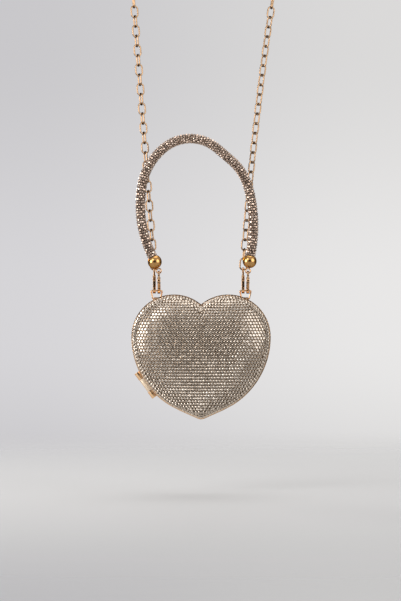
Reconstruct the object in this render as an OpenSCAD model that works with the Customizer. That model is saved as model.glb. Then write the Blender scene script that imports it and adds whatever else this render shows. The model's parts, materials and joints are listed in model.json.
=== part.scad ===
// Heart shaped purse with a stone covered handle and a chain strap.
// X runs to the right, the front faces -Y, and Z is up.
// The origin is where the strap is held, at the middle of its top run.

/* [Purse] */
// Width of the heart over its rims
heart_w = 130; // [126:1:134]
// Radius of each lobe
lobe_r = 39.6; // [38:0.2:41]
// Radius of each long side
side_r = 75; // [72:1:80]
// Turn of each long side, in degrees
side_turn = 66; // [62:1:70]
// Radius of the tip
tip_r = 8; // [7:0.5:12]
// Height of each half's dome above its rim
dome_h = 21; // [17:0.5:26]
// Thickness of each rim
rim_t = 4; // [3.5:0.1:5]
// Width of each rim's flat band
rim_w = 6; // [6:0.1:7]
// Thickness of the stone skin
stone_t = 1.2; // [0.9:0.1:1.6]
// Thickness of the moulded shell
shell_t = 1.6; // [1.2:0.1:2.4]
// Thickness of the lining
lining_t = 0.8; // [0.5:0.1:1.2]

/* [Hinge] */
// Length of each end knuckle
end_knuckle_len = 7.5; // [6:0.5:9]
// Length of the middle knuckle
mid_knuckle_len = 12.7; // [10:0.1:15]
// Radius of the end knuckles
end_knuckle_r = 2.8; // [2.5:0.1:3]
// Radius of the middle knuckle
mid_knuckle_r = 2.5; // [2.2:0.1:2.8]
// Radius of the hinge pin
hinge_pin_r = 0.9; // [0.6:0.1:1.1]
// Angle of the hinge below the widest line, in degrees
hinge_angle = 36; // [30:1:42]

/* [Rings] */
// Distance of each ring from the middle of the purse
ring_x = 41.5; // [40:0.5:43]
// Outer width of each ring at its top
ring_top_w = 12; // [11.6:0.1:13]
// Outer width of each ring at its lug
ring_low_w = 8.4; // [8.2:0.1:9]
// Height of each ring between the centres of its two bars
ring_h = 7.6; // [7:0.1:9]
// Radius of the ring wire
ring_wire_r = 0.7; // [0.6:0.05:0.8]

/* [Clasps] */
// Thickness of a clasp
clasp_t = 2.8; // [2.4:0.1:2.9]
// Distance from the ring bar to the eye's centre
clasp_reach = 19.5; // [18.5:0.5:21]
// Inner radius of the hook
hook_r = 2.2; // [2.1:0.1:2.5]
// Wall of the hook
hook_wall = 1.6; // [1.3:0.1:1.9]
// Forward lean of the handle's clasps, in degrees
handle_clasp_lean = 34; // [33:1:40]

/* [Handle] */
// Radius of the stone covered tube
tube_r = 4.4; // [3.8:0.1:5]
// Wall of the tube's stone covered sleeve
sleeve_t = 1.1; // [0.8:0.1:1.6]
// Radius of the beads
bead_r = 6.5; // [5.5:0.1:6.7]
// Direction in which the wire leaves the left eye, in degrees above +X
handle_start = 114; // [112:1:118]

/* [Chain] */
// Pitch of the links
link_pitch = 9.1; // [8.6:0.1:9.6]
// Outer width of a link
link_w = 7.7; // [7:0.1:7.8]
// Radius of the link wire
link_wire_r = 0.7; // [0.6:0.05:0.75]
// Links in each strand
strand_links = 29; // [27:1:31]
// Links in the top run, an odd number
top_links = 11; // [11:2:13]
// Outward lean of the left strand, in degrees
left_lean = 4.4; // [3:0.1:6]
// Turn of the right strand's bow from its middle to each end, in degrees
right_bow = 2.5; // [0:0.5:4]
// Twist of the left strand's links, in degrees
left_twist = 22; // [0:1:45]
// Twist of the right strand's links, in degrees
right_twist = 40; // [0:1:45]

/* [Hidden] */

$fn = 48;
gold = [0.86, 0.62, 0.42];
yellow_gold = [0.85, 0.65, 0.25];
champagne = [0.72, 0.66, 0.58];
taupe = [0.55, 0.46, 0.38];
black = [0.12, 0.11, 0.11];
steel = [0.7, 0.7, 0.72];
satin = [0.62, 0.5, 0.42];

// Clearances and overruns
run_gap = 0.05;
free_gap = 0.3;
seat_gap = 0.3;
layer_gap = 0.05;
cut_over = 1;

// Shape of the domes
dome_power = 2.3;
dome_centre_share = -0.2;
lobe_steps = 12;
side_steps = 8;
tip_steps = 2;
dome_rings = 6;

// Rim details
rim_edge = 0.6;
rim_edge_t = 0.8;
skin_inset = 1.2;

// Places in the plan of the heart, where the widest line is y = 0
lobe_x = heart_w / 2 - lobe_r;
side_cx = heart_w / 2 - side_r;
tip_cy = -(cos(side_turn) * side_cx + side_r - tip_r) / sin(side_turn);
dome_cy = lobe_r * dome_centre_share;

// Lug and notch of each ring
ring_bend_r = 1;
lug_r = 1.35;
lug_side_gap = 0.3;
lug_len = ring_low_w - 4 * ring_wire_r - 2 * lug_side_gap;
lug_bore_r = ring_wire_r + run_gap;
lug_post_w = 4;
lug_post_t = 2.4;
lug_sink = 0.6;
notch_floor = 0.5;
notch_side = 0.8;

// Hinge
hinge_out = 1;
leaf_depth = 4;
leaf_t = 3;
hinge_bore_r = hinge_pin_r + run_gap;
barrel_len = mid_knuckle_len + 2 * end_knuckle_len + 2 * free_gap;

// Magnets, with the turns from each ring to the two beside it
magnet_r = 2;
magnet_t = 2.5;
magnet_turns = [-46.011, 13.989];

// Unit step in the XZ plane at h degrees above +X
function way(h) = [cos(h), sin(h)];

// Links of the chain, and the headings of the links that turn each top corner
link_slack = 0.1;
corner_ways = [74, 52, 27];
twist_step = 12;
link_r = link_w / 2 - link_wire_r;
link_half = link_pitch / 2 + link_wire_r + link_slack - link_r;

// Each ring carries a strap's clasp to the left of its middle and a handle's clasp to the right
clasp_off = 2.2;
chain_foot = clasp_reach + link_wire_r + link_slack;
left_foot = [-ring_x - clasp_off, chain_foot];
right_foot = [ring_x - clasp_off, chain_foot];

// Way gone over the first n links of a top corner, which turn step by step
function corner_step(n) = n == 0 ? [0, 0] : corner_step(n - 1) + link_pitch * way(corner_ways[n - 1]);

// Joints of the strap, with heights from the ring bars: each link lies between two of them
function left_joint(n) = left_foot + n * link_pitch * way(90 + left_lean);
left_top = left_joint(strand_links);
corner_left = left_top + corner_step(len(corner_ways));
corner_way = [corner_left[0] - left_top[0], left_top[1] - corner_left[1]];

// Way gone over the first n links of the right strand, which bows about the vertical
function bowed(n) = n == 0 ? [0, 0]
    : bowed(n - 1) + link_pitch * way(90 - right_bow * ((2 * n - 1) / strand_links - 1));
right_len = norm(bowed(strand_links));

// The right strand's top is where it and the top run both reach
apex_from = right_foot - corner_way;
reach_way = apex_from - corner_left;
reach = norm(reach_way);
top_len = top_links * link_pitch;
reach_along = (pow(top_len, 2) - pow(right_len, 2) + pow(reach, 2)) / (2 * reach);
reach_up = sqrt(pow(top_len, 2) - pow(reach_along, 2));
reach_unit = reach_way / reach;
corner_right = corner_left + reach_along * reach_unit + reach_up * [-reach_unit[1], reach_unit[0]];
right_top = corner_right + corner_way;
right_way = (right_top - right_foot) / right_len;
function right_joint(n) = let (step = bowed(n))
    right_foot + step[0] * [right_way[1], -right_way[0]] + step[1] * right_way;

// Height of the ring bars below the origin, which lies on the top run over the purse's middle
top_slope = (corner_right[1] - corner_left[1]) / (corner_right[0] - corner_left[0]);
bar_z = -(corner_left[1] - corner_left[0] * top_slope);

// Heights of the main places
lobe_arch = sqrt(pow(lobe_r, 2) - pow(ring_x - lobe_x, 2));
ring_turn = atan2(lobe_arch, ring_x - lobe_x);
lug_z = bar_z - ring_h;
lobe_z = lug_z + lug_sink - lobe_arch;
parting_y = lug_r + layer_gap - rim_t;

// Clasp details, from the ring bar's centre towards the eye
bowl_v = hook_r - ring_wire_r - seat_gap;
bowl_out_r = hook_r + hook_wall;
shoulder_r = 3.5;
shoulder_v = 10.8;
slot_r = 1.9;
slot_v = 9;
eye_hole_r = 1.3;
eye_wall = 1;
eye_t = 1.8;
neck_low = 2.2;
neck_high = 1.5;
neck_low_v = 13.2;
neck_high_v = clasp_reach - eye_hole_r;
pivot_u = -2.4;
pivot_v = 11.2;
pivot_r = 0.45;
lever_t = 1.4;
lever_arm_t = clasp_t - free_gap;
lever_slot = lever_t + free_gap;
lever_disc_r = 1.5;
gate_low_v = 2.6;
gate_high_v = 10.3;
gate_u = -1.3;

// Handle details
loop_r = 2.2;
loop_stem = 0.5;
loop_wire_r = 0.6;
stem_r = 0.9;
bead_flat = 4.7;
plug_len = 6;
sleeve_sides = 12;
core_sides = 12;
bend_step_turn = 6;
bead_way = loop_r + loop_stem + bead_r;
tube_way = bead_way + bead_flat;
plug_r = tube_r - sleeve_t - run_gap;

// Bends of the handle from left to right: radii as shares of the right shoulder's, turns in degrees, and
// whether the handle runs straight after each
handle_bend_r = 50;
bend_shares = [2.08, 1.14, 0.77, 1, 2.7];
bend_turns = [29.5, 47, 78, 34, 25];
straight_after = [true, false, true, false, false];

// Outline of the heart

// Points of an arc about c from angle a to angle b
function arc(c, r, a, b, n) = [for (i = [0:n]) c + r * [cos(a + (b - a) * i / n), sin(a + (b - a) * i / n)]];

// All of a list but its first point
function rest(list) = [for (i = [1:len(list) - 1]) list[i]];

// Where a lobe's arc starts, drawn in by d: at the middle line, or level with its centre if it ends short of that
function notch_turn(d) = lobe_r - d > lobe_x ? acos(-lobe_x / (lobe_r - d)) : 180;

// Right half of the outline, drawn in by d, from the notch to the tip
function half_heart(d) = concat(
    [[0, (lobe_r - d) * sin(notch_turn(d))]],
    rest(arc([lobe_x, 0], lobe_r - d, notch_turn(d), 0, lobe_steps)),
    rest(arc([side_cx, 0], side_r - d, 0, -side_turn, side_steps)),
    arc([0, tip_cy], tip_r - d, -side_turn, -90, tip_steps)
);

// Whole outline, drawn in by d, clockwise from the notch
function heart(d) = let (half = half_heart(d), n = len(half)) concat(
    half,
    [for (i = [n - 2:-1:1]) [-half[i][0], half[i][1]]]
);

// Domes

// Points of a dome: rings that shrink about its centre, then the crown
function dome_points(d, h) = let (edge = heart(d), c = [0, dome_cy]) concat(
    [for (j = [0:dome_rings - 1]) let (
        turn = 90 * j / dome_rings,
        size = pow(cos(turn), 2 / dome_power),
        rise = h * pow(sin(turn), 2 / dome_power)
    ) for (p = edge) [c[0] + (p[0] - c[0]) * size, c[1] + (p[1] - c[1]) * size, rise]],
    [[c[0], c[1], h]]
);

// Faces of a dome whose points start at index from, seen from outside or from inside
function dome_faces(from, n, inside) = let (crown = from + n * dome_rings) [
    for (j = [0:dome_rings - 1]) for (i = [0:n - 1]) let (
        a = from + j * n + i,
        b = from + j * n + (i + 1) % n,
        c = j == dome_rings - 1 ? crown : a + n,
        e = b + n
    ) each (j == dome_rings - 1
        ? [inside ? [a, c, b] : [a, b, c]]
        : [inside ? [a, c, b] : [a, b, c], inside ? [b, c, e] : [b, e, c]])
];

// A hollow dome: outer surface drawn in by d and h high, with a wall of thickness t
module dome(d, h, t) {
    outer = dome_points(d, h);
    inner = dome_points(d + t, h - t);
    n = len(heart(d));
    m = len(outer);
    base = [for (i = [0:n - 1]) each [[i, m + i, (i + 1) % n], [(i + 1) % n, m + i, m + (i + 1) % n]]];
    polyhedron(concat(outer, inner), concat(dome_faces(0, n, false), dome_faces(m, n, true), base));
}

// Puts the plan of a half in place, with its height towards the front or the rear
module on_front() {
    translate([0, parting_y, lobe_z]) rotate([90, 0, 0]) children();
}

module on_rear() {
    translate([0, parting_y, lobe_z]) mirror([0, 1, 0]) rotate([90, 0, 0]) children();
}

shell_d = skin_inset + stone_t + layer_gap;
shell_h = dome_h - stone_t - layer_gap;
lining_d = shell_d + shell_t + layer_gap;
lining_h = shell_h - shell_t - layer_gap;

module stone_skin() {
    color(champagne) translate([0, 0, rim_t]) dome(skin_inset, dome_h, stone_t);
}

module shell() {
    color(black) translate([0, 0, rim_t]) dome(shell_d, shell_h, shell_t);
}

module lining() {
    color(satin) translate([0, 0, rim_t]) dome(lining_d, lining_h, lining_t);
}

// Rims

module at_hinge() {
    translate([-side_cx, 0]) rotate(180 + hinge_angle) translate([side_r + hinge_out, 0]) children();
}

// Room for the hinge barrel in both rims
module barrel_room() {
    at_hinge() rotate([90, 0, 0])
        cylinder(r = end_knuckle_r + free_gap, h = barrel_len + 2 * free_gap, center = true);
}

// One leaf, from the barrel's axis into the rim
module leaf(y, len) {
    at_hinge() translate([-hinge_out - leaf_depth, y, free_gap]) cube([hinge_out + leaf_depth, len, leaf_t]);
}

module magnet_places() {
    for (turn = magnet_turns)
        translate([lobe_x, 0, free_gap / 2]) rotate(ring_turn + turn) translate([lobe_r - rim_w / 2, 0])
            children();
}

module magnets() {
    color(steel) magnet_places() cylinder(r = magnet_r, h = magnet_t);
}

module rim_band() {
    difference() {
        union() {
            translate([0, 0, free_gap / 2]) linear_extrude(rim_t - rim_edge_t - free_gap / 2) polygon(heart(0));
            translate([0, 0, rim_t - rim_edge_t]) linear_extrude(rim_edge_t) polygon(heart(rim_edge));
        }
        translate([0, 0, -cut_over]) linear_extrude(rim_t + 2 * cut_over) polygon(heart(rim_w));
        barrel_room();
        magnet_places() translate([0, 0, -cut_over]) cylinder(r = magnet_r, h = magnet_t + cut_over);
    }
}

module end_leaves() {
    leaf(mid_knuckle_len / 2 + free_gap, end_knuckle_len);
    leaf(-mid_knuckle_len / 2 - free_gap - end_knuckle_len, end_knuckle_len);
}

module mid_leaf() {
    leaf(-mid_knuckle_len / 2, mid_knuckle_len);
}

module front_rim() {
    color(gold) on_front() difference() {
        rim_band();
        mid_leaf();
    }
}

// Room above the rear rim's edge for a ring's lower bar and legs
module ring_notch(side) {
    w = ring_low_w + 2 * notch_side;
    low = lug_z - lug_r - notch_floor;
    translate([side * ring_x - w / 2, parting_y - cut_over, low])
        cube([w, rim_t + 2 * cut_over, lobe_z + lobe_r + cut_over - low]);
}

module rear_rim() {
    color(gold) difference() {
        on_rear() difference() {
            rim_band();
            end_leaves();
        }
        for (side = [-1, 1])
            ring_notch(side);
    }
}

module lug(side) {
    color(gold) translate([side * ring_x, 0, lug_z]) difference() {
        union() {
            rotate([0, 90, 0]) cylinder(r = lug_r, h = lug_len, center = true);
            translate([-lug_post_w / 2, -lug_post_t / 2, -lug_r - notch_floor])
                cube([lug_post_w, lug_post_t, lug_r + notch_floor]);
        }
        rotate([0, 90, 0]) cylinder(r = lug_bore_r, h = lug_len + 2 * cut_over, center = true);
    }
}

// Hinge

// A knuckle from y to y + len along the hinge, open for the pin
module knuckle(y, len, r) {
    at_hinge() translate([0, y + len, 0]) rotate([90, 0, 0]) cylinder(r = r, h = len);
}

module pin_bore() {
    at_hinge() rotate([90, 0, 0]) cylinder(r = hinge_bore_r, h = barrel_len + 2 * cut_over, center = true);
}

module hinge_ends() {
    color(gold) on_rear() difference() {
        union() {
            knuckle(mid_knuckle_len / 2 + free_gap, end_knuckle_len, end_knuckle_r);
            knuckle(-mid_knuckle_len / 2 - free_gap - end_knuckle_len, end_knuckle_len, end_knuckle_r);
            end_leaves();
        }
        pin_bore();
    }
}

module hinge_middle() {
    color(gold) on_front() difference() {
        union() {
            knuckle(-mid_knuckle_len / 2, mid_knuckle_len, mid_knuckle_r);
            mid_leaf();
        }
        pin_bore();
    }
}

module hinge_pin() {
    color(steel) on_rear() at_hinge() rotate([90, 0, 0]) cylinder(r = hinge_pin_r, h = barrel_len, center = true);
}

// Rings

// A straight piece of round bar in the XZ plane, from start along heading h
module bar(start, h, len, r) {
    translate([start[0], 0, start[1]]) rotate([0, 90 - h, 0]) cylinder(r = r, h = len);
}

// A closed wire through corner points in the XZ plane, given clockwise, bent to radius bend at each
module wire_loop(points, bend, r) {
    n = len(points);
    for (i = [0:n - 1]) {
        a = points[i];
        b = points[(i + 1) % n];
        c = points[(i + 2) % n];
        h = atan2(b[1] - a[1], b[0] - a[0]);
        turn = (h - atan2(c[1] - b[1], c[0] - b[0]) + 360) % 360;
        before = points[(i + n - 1) % n];
        last_turn = (atan2(a[1] - before[1], a[0] - before[0]) - h + 360) % 360;
        start = a + bend * tan(last_turn / 2) * way(h);
        end = b - bend * tan(turn / 2) * way(h);
        centre = end + bend * way(h - 90);
        bar(start, h, norm(end - start), r);
        translate([centre[0], 0, centre[1]]) rotate([90, 0, 0]) rotate(h + 90 - turn)
            rotate_extrude(angle = turn) translate([bend, 0]) circle(r = r, $fn = 32);
    }
}

module ring(side) {
    top = ring_top_w / 2 - ring_wire_r;
    low = ring_low_w / 2 - ring_wire_r;
    color(gold) translate([side * ring_x, 0, bar_z])
        wire_loop([[-top, 0], [top, 0], [low, -ring_h], [-low, -ring_h]], ring_bend_r, ring_wire_r);
}

// Clasps, drawn in the plane of their hook, with u as x and the way to the eye as y

module capsule(r1, v1, r2, v2) {
    translate([0, v1]) circle(r = r1);
    translate([0, v2]) circle(r = r2);
    polygon([[-r1, v1], [r1, v1], [r2, v2], [-r2, v2]]);
}

// Sets a drawing upright in the YZ plane with thickness t about x = 0
module upright(t) {
    rotate([90, 0, 90]) translate([0, 0, -t / 2]) linear_extrude(t) children();
}

module clasp_body() {
    difference() {
        union() {
            upright(clasp_t) capsule(bowl_out_r, bowl_v, shoulder_r, shoulder_v);
            upright(eye_t) {
                polygon([
                    [-neck_low, shoulder_v], [neck_low, shoulder_v], [neck_low, neck_low_v],
                    [neck_high, neck_high_v], [-neck_high, neck_high_v], [-neck_low, neck_low_v],
                ]);
                translate([0, clasp_reach]) circle(r = eye_hole_r + eye_wall);
            }
        }
        upright(clasp_t + 2 * cut_over) {
            capsule(hook_r, bowl_v, slot_r, slot_v);
            translate([gate_u - bowl_out_r, gate_low_v]) square([bowl_out_r, gate_high_v - gate_low_v]);
            translate([0, clasp_reach]) circle(r = eye_hole_r);
            translate([pivot_u, pivot_v]) circle(r = pivot_r);
        }
        upright(lever_slot) translate([pivot_u - 2 * lever_disc_r, slot_v])
            square([3 * lever_disc_r + free_gap, pivot_v - slot_v + lever_disc_r + free_gap]);
    }
}

module clasp_lever() {
    tip_v = gate_low_v + free_gap;
    top_v = gate_high_v - free_gap;
    arm_v = top_v - lever_disc_r / 2;
    outer = -bowl_out_r + free_gap / 2;
    inner = -hook_r;
    difference() {
        union() {
            upright(lever_t) {
                translate([pivot_u, pivot_v]) circle(r = lever_disc_r);
                polygon([[outer, top_v - lever_disc_r], [inner, top_v - lever_disc_r],
                    [pivot_u + lever_disc_r, pivot_v], [pivot_u - lever_disc_r, pivot_v]]);
                polygon([
                    [pivot_u - lever_disc_r / 2, pivot_v + lever_disc_r / 2],
                    [pivot_u - 2 * lever_disc_r, pivot_v + lever_disc_r],
                    [pivot_u - 2 * lever_disc_r, pivot_v],
                    [pivot_u - lever_disc_r / 2, pivot_v - lever_disc_r],
                ]);
            }
            upright(lever_arm_t)
                polygon([[outer, tip_v], [inner, tip_v], [inner, arm_v], [outer, arm_v]]);
        }
        upright(clasp_t) translate([pivot_u, pivot_v]) circle(r = pivot_r + run_gap);
    }
}

module clasp_pin() {
    upright(clasp_t) translate([pivot_u, pivot_v]) circle(r = pivot_r);
}

// Places of the clasps: those of the chain stand upright, those of the handle lean forward
module at_chain_clasp(side) {
    translate([side * ring_x - clasp_off, 0, bar_z]) children();
}

module at_handle_clasp(side) {
    translate([side * ring_x + clasp_off, 0, bar_z]) rotate([handle_clasp_lean, 0, 0]) children();
}

// Handle

handle_y = -clasp_reach * sin(handle_clasp_lean);
eye_z = bar_z + clasp_reach * cos(handle_clasp_lean);
left_eye = [-ring_x + clasp_off, eye_z + loop_r];
right_eye = [ring_x + clasp_off, eye_z + loop_r];

// Step along a bend of radius r that turns clockwise from heading h by t
function bend_step(r, h, t) = r * [sin(h) - sin(h - t), cos(h - t) - cos(h)];

// Heading before bend i
function heading(i) = i == 0 ? handle_start : heading(i - 1) - bend_turns[i - 1];

// Way gone over the first part of bend i, which turns by t
function part_bend(i, t) = bend_step(bend_shares[i] * handle_bend_r, heading(i), t);

function sum_steps(i) = i < 0 ? [0, 0] : sum_steps(i - 1) + part_bend(i, bend_turns[i]);

bend_count = len(bend_turns);
end_heading = heading(bend_count);

// The two straight runs close the way from the left eye to the right one
straight_bends = [for (i = [0:bend_count - 1]) if (straight_after[i]) i];
run_way_left = way(heading(straight_bends[0] + 1));
run_way_top = way(heading(straight_bends[1] + 1));
open_way = right_eye - left_eye - (tube_way + plug_len) * (way(handle_start) + way(end_heading))
    - sum_steps(bend_count - 1);
run_cross = run_way_left[0] * run_way_top[1] - run_way_left[1] * run_way_top[0];
left_run = (open_way[0] * run_way_top[1] - open_way[1] * run_way_top[0]) / run_cross;
top_run = (run_way_left[0] * open_way[1] - run_way_left[1] * open_way[0]) / run_cross;

// Start of bend i
function bend_start(i) = left_eye + (tube_way + plug_len) * way(handle_start) + sum_steps(i - 1)
    + (i > straight_bends[0] ? left_run * run_way_left : [0, 0])
    + (i > straight_bends[1] ? top_run * run_way_top : [0, 0]);

// Stations of the tube: a point of its way and the heading there
function bend_stations(i) = let (n = ceil(bend_turns[i] / bend_step_turn)) [
    for (k = [0:n]) let (turn = bend_turns[i] * k / n)
        [bend_start(i) + part_bend(i, turn), heading(i) - turn]
];

tube_start = left_eye + tube_way * way(handle_start);
tube_end = right_eye - tube_way * way(end_heading);

// Bends that meet without a run between them share a station
stations = [
    [tube_start, handle_start],
    for (i = [0:bend_count - 1]) each (i == 0 || straight_after[i - 1] ? bend_stations(i) : rest(bend_stations(i))),
    [tube_end, end_heading],
];

function tube_points(r, sides) = [
    for (s = stations) for (k = [0:sides - 1]) let (
        across = r * cos(360 * k / sides) * way(s[1] + 90)
    ) [s[0][0] + across[0], handle_y + r * sin(360 * k / sides), s[0][1] + across[1]]
];

// Faces along a tube whose points start at index from, seen from outside or from inside
function tube_faces(from, n, rings, inside) = [
    for (j = [0:rings - 2]) for (k = [0:n - 1]) let (
        a = from + j * n + k,
        b = from + j * n + (k + 1) % n
    ) each (inside
        ? [[a, b + n, b], [a, a + n, b + n]]
        : [[a, b, b + n], [a, b + n, a + n]])
];

module handle_tube() {
    n = sleeve_sides;
    m = len(stations);
    inner = n * m;
    last = n * (m - 1);
    ends = [for (k = [0:n - 1]) let (e = (k + 1) % n) each [
        [k, inner + k, e], [e, inner + k, inner + e],
        [last + k, last + e, inner + last + k], [last + e, inner + last + e, inner + last + k],
    ]];
    color(taupe) polyhedron(
        concat(tube_points(tube_r, n), tube_points((plug_r + run_gap) / cos(180 / n), n)),
        concat(tube_faces(0, n, m, false), tube_faces(inner, n, m, true), ends)
    );
}

// The core fills the sleeve between the plugs of the two eye pins
module handle_core() {
    n = core_sides;
    m = len(stations) - 2;
    inside = [for (i = [n:n * (m + 1) - 1]) tube_points(plug_r, n)[i]];
    color(black) polyhedron(
        inside,
        concat(tube_faces(0, n, m, false), [[for (k = [n - 1:-1:0]) k], [for (k = [0:n - 1]) n * (m - 1) + k]])
    );
}

// An eye with a stem through the bead and a plug in the end of the tube
module eye_pin(eye, h) {
    color(steel) translate([0, handle_y, 0]) {
        translate([eye[0], 0, eye[1]]) rotate([90, 0, 0]) rotate_extrude() translate([loop_r, 0])
            circle(r = loop_wire_r, $fn = 24);
        bar(eye + loop_r * way(h), h, tube_way - loop_r + plug_len / 2, stem_r);
        bar(eye + tube_way * way(h), h, plug_len, plug_r);
    }
}

// A bead with a bore for the stem and a flat where the tube sits
module bead(eye, h) {
    centre = eye + bead_way * way(h);
    bore = stem_r + run_gap;
    color(yellow_gold) translate([centre[0], handle_y, centre[1]]) rotate([0, 90 - h, 0])
        rotate_extrude() intersection() {
            circle(r = bead_r, $fn = 96);
            translate([bore, -bead_r]) square([bead_r, bead_r + bead_flat]);
        }
}

// Chain

// Turn of link i about its length, where every second one stands across
function across(i) = 90 * (i % 2);

// Twist of a strand's link i, which grows step by step from both ends
function twist_at(i, most) = min(most, i * twist_step, (strand_links - 1 - i) * twist_step);

// A link from a to b, turned about its length
module link(a, b, turn) {
    middle = (a + b) / 2;
    translate([middle[0], 0, middle[1]]) rotate([0, atan2(b[0] - a[0], b[1] - a[1]), 0])
        rotate([90, 0, turn]) for (flip = [0, 180]) rotate(flip) {
            translate([0, link_half]) rotate_extrude(angle = 180) translate([link_r, 0])
                circle(r = link_wire_r, $fn = 24);
            translate([link_r, -link_half]) rotate([-90, 0, 0])
                cylinder(r = link_wire_r, h = 2 * link_half, $fn = 24);
        }
}

module chain_left() {
    color(gold) translate([0, 0, bar_z]) for (i = [0:strand_links - 1])
        link(left_joint(i), left_joint(i + 1), across(i) + twist_at(i, left_twist));
}

module chain_right() {
    color(gold) translate([0, 0, bar_z]) for (i = [0:strand_links - 1])
        link(right_joint(i), right_joint(i + 1), across(i) + twist_at(i, right_twist));
}

// A step of the left corner, mirrored for the right one
function flipped(step) = [-step[0], step[1]];

// Joint n of the top run
function top_joint(n) = corner_left + (corner_right - corner_left) * n / top_links;

module chain_top() {
    corner_links = len(corner_ways);
    color(gold) translate([0, 0, bar_z]) {
        for (i = [0:corner_links - 1]) {
            from = corner_step(i);
            to = corner_step(i + 1);
            link(left_top + from, left_top + to, across(strand_links + i));
            link(right_top + flipped(from), right_top + flipped(to), across(strand_links + i));
        }
        for (i = [0:top_links - 1])
            link(top_joint(i), top_joint(i + 1), across(strand_links + corner_links + i));
    }
}

chain_left();
chain_top();
chain_right();
color(gold) at_chain_clasp(-1) clasp_body();  // chain_clasp_left
color(gold) at_chain_clasp(1) clasp_body();  // chain_clasp_right
color(steel) at_chain_clasp(-1) clasp_pin();  // chain_pin_left
color(steel) at_chain_clasp(1) clasp_pin();  // chain_pin_right
color(gold) at_chain_clasp(-1) clasp_lever();  // chain_lever_left
color(gold) at_chain_clasp(1) clasp_lever();  // chain_lever_right
color(gold) at_handle_clasp(-1) clasp_body();  // handle_clasp_left
color(gold) at_handle_clasp(1) clasp_body();  // handle_clasp_right
color(steel) at_handle_clasp(-1) clasp_pin();  // handle_pin_left
color(steel) at_handle_clasp(1) clasp_pin();  // handle_pin_right
color(gold) at_handle_clasp(-1) clasp_lever();  // handle_lever_left
color(gold) at_handle_clasp(1) clasp_lever();  // handle_lever_right
ring(-1);  // ring_left
ring(1);  // ring_right
handle_tube();
handle_core();
eye_pin(left_eye, handle_start);  // eye_pin_left
eye_pin(right_eye, end_heading + 180);  // eye_pin_right
bead(left_eye, handle_start);  // bead_left
bead(right_eye, end_heading + 180);  // bead_right
rear_rim();
on_rear() shell();  // rear_shell
on_rear() lining();  // rear_lining
on_rear() stone_skin();  // rear_stones
lug(-1);  // lug_left
lug(1);  // lug_right
hinge_ends();
hinge_pin();
on_rear() magnets();  // rear_magnets
front_rim();
on_front() shell();  // front_shell
on_front() lining();  // front_lining
on_front() stone_skin();  // front_stones
hinge_middle();
on_front() magnets();  // front_magnets
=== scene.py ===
import itertools
import json
import math

import bmesh
import bpy
import numpy as np
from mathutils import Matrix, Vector
from mathutils.noise import noise as smoothNoise


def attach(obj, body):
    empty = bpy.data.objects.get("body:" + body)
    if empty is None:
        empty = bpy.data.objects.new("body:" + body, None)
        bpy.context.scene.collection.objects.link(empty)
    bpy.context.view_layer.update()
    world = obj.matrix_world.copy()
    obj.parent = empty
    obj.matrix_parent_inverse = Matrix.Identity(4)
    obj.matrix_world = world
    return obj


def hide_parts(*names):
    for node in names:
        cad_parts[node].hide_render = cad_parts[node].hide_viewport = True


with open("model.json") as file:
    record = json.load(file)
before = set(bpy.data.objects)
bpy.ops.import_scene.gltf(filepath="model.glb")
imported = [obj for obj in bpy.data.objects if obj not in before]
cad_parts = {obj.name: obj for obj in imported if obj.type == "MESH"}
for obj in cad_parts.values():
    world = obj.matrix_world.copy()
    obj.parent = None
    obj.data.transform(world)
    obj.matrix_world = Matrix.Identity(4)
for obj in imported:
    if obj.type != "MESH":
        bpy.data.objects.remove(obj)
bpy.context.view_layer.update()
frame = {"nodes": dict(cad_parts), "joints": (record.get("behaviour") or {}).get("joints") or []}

# The heart shaped purse: metal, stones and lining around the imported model.
# Lengths in the dictionaries are millimetres, and meshes are made in metres.
mm = 0.001
places = {j["name"]: np.array(j["pos_m"]) / mm for j in frame["joints"]}


def say(stage):
    print("purse scene:", stage)


# Helpers for meshes


def addObject(name, data):
    made = bpy.data.objects.new(name, data)
    bpy.context.scene.collection.objects.link(made)
    return made


def newPiece(name, points, faces, material, body, smooth=True):
    # points in millimetres, in the frame of the whole object
    mesh = bpy.data.meshes.new(name)
    mesh.from_pydata((np.asarray(points, float) * mm).tolist(), [], faces)
    mesh.validate()
    if smooth:
        mesh.shade_smooth()
    mesh.materials.append(material)
    piece = addObject(name, mesh)
    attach(piece, body)
    return piece


def faceOutwards(piece):
    bm = bmesh.new()
    bm.from_mesh(piece.data)
    bmesh.ops.recalc_face_normals(bm, faces=bm.faces)
    bm.to_mesh(piece.data)
    bm.free()


def closedTube(rings):
    # faces between rings of points, and from the last ring to the first
    count, sides = len(rings), len(rings[0])
    faces = []
    for a in range(count):
        b = (a + 1) % count
        for i in range(sides):
            j = (i + 1) % sides
            faces.append((a * sides + i, a * sides + j, b * sides + j, b * sides + i))
    return np.concatenate(rings), faces


def bakeModifiers(piece):
    view = bpy.context.evaluated_depsgraph_get()
    view.update()
    made = bpy.data.meshes.new_from_object(piece.evaluated_get(view))
    piece.modifiers.clear()
    old = piece.data
    piece.data = made
    made.name = old.name
    bpy.data.meshes.remove(old)


# points this close are welded, faces this flat are joined, and edges this sharp are broken: millimetres and degrees
copying = {"weld": 0.001, "flatAngle": 0.5, "sharpAngle": 38.0, "bevelSteps": 3, "softening": 0.5}


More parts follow.
